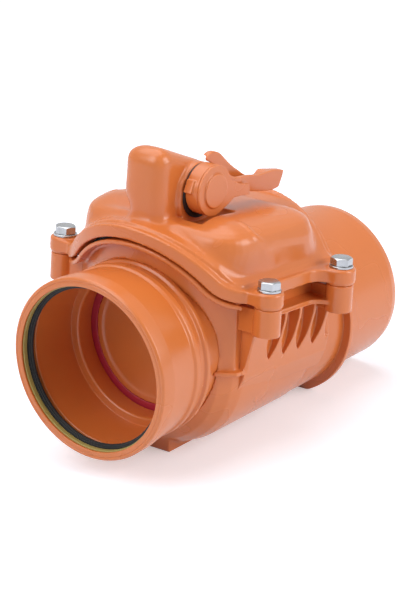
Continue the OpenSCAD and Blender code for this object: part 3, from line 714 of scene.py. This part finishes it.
def shape_hood(piece):
    """Lowers the dome's crest and the tower's top, broadens the tower and creases the dome."""
    places, facing = point_rows(piece.data), point_rows(piece.data, "normal")
    along, height = on_joint(places[:, 1] - JOINT_PIVOT_Y, places[:, 2] - SOCKET_AXIS)
    forward, upward = on_joint(facing[:, 1], facing[:, 2])
    across, side = places[:, 0], np.abs(places[:, 0])
    flange = flange_top(side)
    in_rim = (along < RIM_FRONT) | (along > RIM_BACK) | (side > RIM_SIDE)
    free = np.where(in_rim, ramp(height - flange, *RIM_FADE), 1)
    off_hub = np.maximum(rising(hub_reach(places), *HUB_FREE), rising(side, *HUB_FREE_SIDE))
    outward = across * facing[:, 0] + (along - HOOD_MIDDLE[0]) * forward
    outside = outward + (height - HOOD_MIDDLE[1]) * upward > 0

    crest = CREST_SHARE * np.clip(height - CREST_FROM, 0, CREST_SPAN)
    crest *= rising(along, *CREST_FRONT) * (1 - rising(height, *CREST_END))
    top = TOWER_DROP * rising(height, *TOWER_RISE) * (upward > NOT_UNDERSIDE)
    shoulder = SHOULDER_OUT * rising(side, *SHOULDER_SIDE) * rising(height, *SHOULDER_RISE)
    broader = TOWER_BROADER * rising(-across, *BROAD_SIDE) * rising(height, *BROAD_RISE)
    across = across + shoulder * np.sign(across) * free - broader
    height = height - (crest + top) * off_hub * free

    clear = ramp(height - flange, *CREASE_CLEAR) * outside
    front_edge, rear_edge = (np.interp(height, heights, edges)
                             for heights, edges in zip(CREASE_HEIGHTS, CREASE_EDGES))
    crease = rising(along - front_edge, -CREASE_SOFT, CREASE_SOFT)
    crease -= rising(along - rear_edge, -CREASE_SOFT, CREASE_SOFT)
    band = CREASE_OUT * crease * clear * rising(side, *CREASE_SIDE)
    level, steep = math.cos(joint_lean), math.sin(joint_lean)
    shaped = np.stack((across, JOINT_PIVOT_Y + along * level - height * steep,
                       SOCKET_AXIS + along * steep + height * level), axis=1)
    move_points(piece.data, shaped + facing * band[:, None])
    return piece


def tower_top(places):
    """1 on the upper part of the tower, away from the drum."""
    high = rising(places[:, 2] - hub.z, *SOFT_RISE)
    return high * np.where(places[:, 0] > SOFT_SIDE, rising(hub_reach(places), *SOFT_REACH), 1)


cover = merged_copy("cover_hood", "cover")
fine_skin(cover, voxel=0.0009)
round_edges(cover, passes=2)
shape_hood(cover)
soften_hollows(cover, passes=110, share=cover_blend)
round_edges(cover, passes=1)
round_edges(cover, passes=40, share=tower_top)
thin_out(cover, most_triangles=195000)
finish_plastic(cover, "housing", "cover")


# Cover bolts: zinc-plated hexagon bolts on plain washers, one in each ear of the flange,
# with the nuts held in hexagon pockets under the body's bosses.
HEAD_FLATS = 0.013
HEAD_HEIGHT = 0.0053
FLAT_RADIUS = HEAD_FLATS / 2 - 0.0004
CHAMFER_SLOPE = math.tan(math.radians(30))
HEAD_ROUND = 0.0003
CHAMFER_ROUND = 0.0001
TOP_ROUND = 0.0008
WASHER_RADIUS = 0.008
WASHER_THICK = 0.0016
WASHER_EDGE = 0.0003
WASHER_HOLE = 0.0042
SHANK_RADIUS = 0.004
SHANK_LENGTH = 0.030
SHANK_POINT = 0.0006
BOLT_SIDES = 72


def bolt_outline(turn):
    """Outline of a bolt at one turn round its axis: shank, hexagon, chamfer and flat top."""
    top = WASHER_THICK + HEAD_HEIGHT
    sixth = math.pi / 3
    from_flat = (turn + sixth / 2) % sixth - sixth / 2
    hexagon = HEAD_FLATS / 2 / math.cos(from_flat)
    chamfer = top - (hexagon - FLAT_RADIUS) * CHAMFER_SLOPE
    shank = [(SHANK_RADIUS - SHANK_POINT, -SHANK_LENGTH), (SHANK_RADIUS, SHANK_POINT - SHANK_LENGTH),
             (SHANK_RADIUS, WASHER_THICK)]
    flats = [(hexagon - HEAD_ROUND, WASHER_THICK), (hexagon, WASHER_THICK + HEAD_ROUND),
             (hexagon, chamfer - CHAMFER_ROUND), (hexagon - 2 * CHAMFER_ROUND, chamfer + CHAMFER_ROUND)]
    crown = [(FLAT_RADIUS, top), (FLAT_RADIUS - TOP_ROUND, top + CHAMFER_ROUND)]
    return shank + flats + crown


def bolt_mesh(material):
    """One bolt and its washer, standing on the ear's face at z = 0."""
    shell = bmesh.new()
    turns = [2 * math.pi * i / BOLT_SIDES for i in range(BOLT_SIDES)]

    def ring(level):
        """Points round the bolt's axis, with a radius and a height for each turn."""
        return [shell.verts.new((r * math.cos(turn), r * math.sin(turn), z))
                for turn, (r, z) in zip(turns, level)]

    rings = [ring(level) for level in zip(*map(bolt_outline, turns))]
    join_rings(shell, rings)
    shell.faces.new(reversed(rings[0]))
    shell.faces.new(rings[-1])
    rim, upper = WASHER_RADIUS - WASHER_EDGE, WASHER_THICK - WASHER_EDGE
    washer = [(WASHER_HOLE, 0), (rim, 0), (WASHER_RADIUS, WASHER_EDGE), (WASHER_RADIUS, upper),
              (rim, WASHER_THICK), (WASHER_HOLE, WASHER_THICK)]
    rims = [ring([corner] * BOLT_SIDES) for corner in washer]
    join_rings(shell, rims + rims[:1])
    bmesh.ops.recalc_face_normals(shell, faces=shell.faces)
    mesh = bpy.data.meshes.new("bolt_and_washer")
    shell.to_mesh(mesh)
    shell.free()
    mesh.materials.append(material)
    return mesh


def bolt_tree(material):
    """Stands a bolt on every point, leaning with the cover joint, each turned its own way."""
    tree = bpy.data.node_groups.new("bolts_in_ears", "GeometryNodeTree")
    inputs = (("Geometry", "Geometry"), ("Bolt", "Object"), ("Lean", "Float"), ("Seed", "Int"))
    for label, kind in inputs:
        tree.interface.new_socket(label, in_out="INPUT", socket_type="NodeSocket" + kind)
    tree.interface.new_socket("Geometry", in_out="OUTPUT", socket_type="NodeSocketGeometry")
    nodes, links = tree.nodes, tree.links
    given = nodes.new("NodeGroupInput")
    out = nodes.new("NodeGroupOutput")
    source = nodes.new("GeometryNodeObjectInfo")
    turn = nodes.new("FunctionNodeRandomValue")
    turn.data_type = "FLOAT"
    turn.inputs["Min"].default_value = 0.0
    turn.inputs["Max"].default_value = math.pi / 3
    spin = nodes.new("ShaderNodeCombineXYZ")
    lean = nodes.new("ShaderNodeCombineXYZ")
    stand = nodes.new("GeometryNodeInstanceOnPoints")
    own_turn = nodes.new("GeometryNodeRotateInstances")
    own_turn.inputs["Local Space"].default_value = True
    real = nodes.new("GeometryNodeRealizeInstances")
    paint = nodes.new("GeometryNodeSetMaterial")
    paint.inputs["Material"].default_value = material
    links.new(given.outputs["Bolt"], source.inputs["Object"])
    links.new(given.outputs["Seed"], turn.inputs["Seed"])
    links.new(turn.outputs["Value"], spin.inputs["Z"])
    links.new(given.outputs["Lean"], lean.inputs["X"])
    links.new(given.outputs["Geometry"], stand.inputs["Points"])
    links.new(source.outputs["Geometry"], stand.inputs["Instance"])
    links.new(lean.outputs["Vector"], stand.inputs["Rotation"])
    links.new(stand.outputs["Instances"], own_turn.inputs["Instances"])
    links.new(spin.outputs["Vector"], own_turn.inputs["Rotation"])
    links.new(own_turn.outputs["Instances"], real.inputs["Geometry"])
    links.new(real.outputs["Geometry"], paint.inputs["Geometry"])
    links.new(paint.outputs["Geometry"], out.inputs["Geometry"])
    return tree


def set_inputs(modifier, **values):
    """Sets a tree's inputs by the names that they have in it."""
    for item in modifier.node_group.interface.items_tree:
        if item.in_out == "INPUT" and item.name in values:
            modifier[item.identifier] = values[item.name]


pattern = bpy.data.objects.new("bolt_pattern", bolt_mesh(zinc))
bpy.context.scene.collection.objects.link(pattern)
up = Vector((0, -math.sin(joint_lean), math.cos(joint_lean)))
points = bpy.data.meshes.new("bolt_seats")
points.from_pydata([seat - up * WASHER_THICK / 2 for seat in seats.values()], [], [])
bolts = bpy.data.objects.new("cover_bolt_set", points)
bpy.context.scene.collection.objects.link(bolts)
grow = bolts.modifiers.new("bolts", "NODES")
grow.node_group = bolt_tree(zinc)
set_inputs(grow, Bolt=pattern, Lean=joint_lean, Seed=4)
settle(bolts)
bpy.data.objects.remove(pattern)
sharp = bolts.modifiers.new("crisp_edges", "EDGE_SPLIT")
sharp.split_angle = math.radians(28)
settle(bolts)
shade_smooth(bolts.data)
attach(bolts, "housing")
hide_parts("cover_bolts", "bolt_washers")
finish_node("bolt_nuts", zinc)


# Lock shaft with its bush, rings, finger, cross pin and screw: a steel shaft in a plastic
# bush through the tower's side. Its finger turns down in front of the flap's heel and
# locks it shut, and the screw holds the drum on the shaft's end.
bearing_plastic = plastic("bearing_plastic", deep=(0.62, 0.60, 0.55), pale=(0.70, 0.68, 0.62),
                          roughness=0.4)
finish_node("shaft_bush", bearing_plastic)
finish_node("lock_finger", bearing_plastic)
for node in ("lock_shaft", "finger_pin", "hub_screw"):
    finish_node(node, zinc)
finish_node("shaft_rings", black_rubber)


# Drum seal: a thin black rubber ring behind the lever's drum. Its lower side is drawn out into a broad lip that
# hangs down in the pocket as painted shade: a dark crescent under the drum, where the gap lies in shadow.
SHADE_CRESCENT_DROP = 0.0042
SHADE_CRESCENT_SIDE = (-0.35, -0.94)
SHADE_CRESCENT_FROM = 0.012

drum_seal = merged_copy("drum_seal", "hub_seal")
# Painted shade: the seal's outer edge is pushed down and to the front into the pocket, so black rubber fills the
# shadowed gap under the drum.
for point in drum_seal.data.vertices:
    run, rise = point.co.y - hub.y, point.co.z - hub.z
    reach = math.hypot(run, rise)
    hang = max(0.0, (run * SHADE_CRESCENT_SIDE[0] + rise * SHADE_CRESCENT_SIDE[1]) / reach)
    if reach > SHADE_CRESCENT_FROM:
        point.co.y += SHADE_CRESCENT_DROP * hang * run / reach
        point.co.z += SHADE_CRESCENT_DROP * hang * rise / reach
drum_seal.data.materials.clear()
drum_seal.data.materials.append(black_rubber)
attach(drum_seal, "lever")
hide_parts("hub_seal")


# Lever: a moulded drum on the shaft's square end, a cap with a tab over its face, and a
# trough-shaped handle whose near wall leans outwards, with a broad tip for the hand.
WEB_BACK = 0.0186
WEB_ADD = 0.0012
ON_WEB = 0.00005
ROOT_RUN = 0.022
CLEAR_RUN = 0.042
UNDER_DROP = 0.009
UNDER_SLOPE = 0.235
WALL_FACES = (0.0205, 0.0262)
WALL_LEAN = 0.003
WALL_HEIGHT = 0.011
TIP_LIFT = 0.003
NOSE_ROUND = 0.009
NOSE_END = 0.016


def shape_handle(piece):
    """Leans the near wall of the handle outwards and raises the upper edge of its rear half."""
    places = point_rows(piece.data)
    run = places[:, 1] - hub.y
    under = hub.z - UNDER_DROP - UNDER_SLOPE * (run - ROOT_RUN)
    raised = ramp(places[:, 2] - under, 0, WALL_HEIGHT)
    clear = rising(run, ROOT_RUN, CLEAR_RUN)
    places[:, 0] -= WALL_LEAN * (1 - raised) * clear * rising(places[:, 0], *WALL_FACES)
    places[:, 2] += TIP_LIFT * clear * raised
    move_points(piece.data, places)
    return piece


def nose(places):
    """1 on the handle's nose over the drum, 0 behind it."""
    return rising(hub.y - places[:, 1], -NOSE_END, -NOSE_ROUND)


drum = merged_copy("lever_drum", "lever_hub")
cap = merged_copy("drum_cap", "hub_cap")
handle = merged_copy("handle_trough", "lever_handle")
for point in handle.data.vertices:
    if abs(point.co.x - WEB_BACK) < ON_WEB:
        point.co.x -= WEB_ADD
for piece in (drum, cap, handle):
    fine_skin(piece, voxel=0.0004)
shape_handle(handle)
round_edges(handle, passes=3)
round_edges(handle, passes=16, share=nose)
for piece, node in ((drum, "lever_hub"), (cap, "hub_cap"), (handle, "lever_handle")):
    round_edges(piece, passes=2)
    soften_hollows(piece, passes=4)
    thin_out(piece, most_triangles=120000)
    finish_plastic(piece, "lever", node)


# Studio: a pale floor that shows white to the camera and keeps the valve's soft shadow,
# a large lamp overhead, one on the right and a little behind, and one high in front on
# the left.
FLOOR_REACH = 6.0
FLOOR_LIFT = 0.37
LIT_POINT = (0, 0, 0.1)


def seen_ray(nodes, links):
    """1 on rays that show the background: from the camera, in a reflection or through glass."""
    path = nodes.new("ShaderNodeLightPath")
    share = path.outputs["Is Camera Ray"]
    for kind in ("Is Glossy Ray", "Is Transmission Ray"):
        either = nodes.new("ShaderNodeMath")
        either.operation = "MAXIMUM"
        links.new(share, either.inputs[0])
        links.new(path.outputs[kind], either.inputs[1])
        share = either.outputs["Value"]
    return share


def pale_floor():
    """A wide sheet of paper, lifted to white where it shows as the background."""
    mesh = bpy.data.meshes.new("floor")
    corners = [(x * FLOOR_REACH, y * FLOOR_REACH, 0) for x, y in ((-1, -1), (1, -1), (1, 1), (-1, 1))]
    mesh.from_pydata(corners, [], [(0, 1, 2, 3)])
    floor = bpy.data.objects.new("floor", mesh)
    bpy.context.scene.collection.objects.link(floor)
    material = bpy.data.materials.new("floor_paper")
    material.use_nodes = True
    nodes, links = material.node_tree.nodes, material.node_tree.links
    shader = nodes["Principled BSDF"]
    shader.inputs["Base Color"].default_value = (0.82, 0.845, 0.92, 1)
    shader.inputs["Roughness"].default_value = 0.9
    shader.inputs["Emission Color"].default_value = (1, 1, 1, 1)
    lift = nodes.new("ShaderNodeMath")
    lift.operation = "MULTIPLY"
    lift.inputs[1].default_value = FLOOR_LIFT
    links.new(seen_ray(nodes, links), lift.inputs[0])
    links.new(lift.outputs["Value"], shader.inputs["Emission Strength"])
    mesh.materials.append(material)


def studio_air():
    """Soft even light from all round, with white behind the valve."""
    world = bpy.data.worlds.new("studio")
    bpy.context.scene.world = world
    world.use_nodes = True
    nodes, links = world.node_tree.nodes, world.node_tree.links
    soft = nodes["Background"]
    soft.inputs["Color"].default_value = (0.95, 0.97, 1.0, 1)
    soft.inputs["Strength"].default_value = 0.22
    white = nodes.new("ShaderNodeBackground")
    pick = nodes.new("ShaderNodeMixShader")
    links.new(seen_ray(nodes, links), pick.inputs["Fac"])
    links.new(soft.outputs["Background"], pick.inputs[1])
    links.new(white.outputs["Background"], pick.inputs[2])
    links.new(pick.outputs["Shader"], nodes["World Output"].inputs["Surface"])


def lamp(name, place, size, watts):
    """A square soft lamp that points at the valve."""
    light = bpy.data.lights.new(name, "AREA")
    light.size = size
    light.energy = watts
    piece = bpy.data.objects.new(name, light)
    piece.location = place
    piece.rotation_euler = (Vector(LIT_POINT) - Vector(place)).to_track_quat("-Z", "Y").to_euler()
    bpy.context.scene.collection.objects.link(piece)


pale_floor()
studio_air()
lamp("top_lamp", place=(-0.4, 0.1, 1.6), size=1.7, watts=18)
lamp("right_lamp", place=(1.4, 0.5, 0.8), size=1.1, watts=17)
lamp("front_lamp", place=(-0.4, -1.4, 1.3), size=1.3, watts=18)


# Camera: a long lens at the photograph's angle, with the frame moved a little to the left
# as in the photograph.
TURN = math.radians(37.303)
RISE = math.radians(21.619)
DISTANCE = 2.3
AIM = Vector((0, 0.0115, 0.076))
PIXELS_TALL = 601
PIXELS_PER_METRE = 1480.66
SHIFT_PIXELS = (-25.8, 2.75)
SENSOR = 36.0

look = Vector((-math.sin(TURN) * math.cos(RISE), math.cos(TURN) * math.cos(RISE), -math.sin(RISE)))
lens = bpy.data.cameras.new("camera")
lens.sensor_width = SENSOR
lens.lens = SENSOR * DISTANCE * PIXELS_PER_METRE / PIXELS_TALL
lens.shift_x, lens.shift_y = (shift / PIXELS_TALL for shift in SHIFT_PIXELS)
camera = bpy.data.objects.new("camera", lens)
camera.location = AIM - look * DISTANCE
camera.rotation_euler = look.to_track_quat("-Z", "Y").to_euler()
bpy.context.scene.collection.objects.link(camera)
bpy.context.scene.camera = camera
bpy.context.scene.view_settings.view_transform = "Standard"
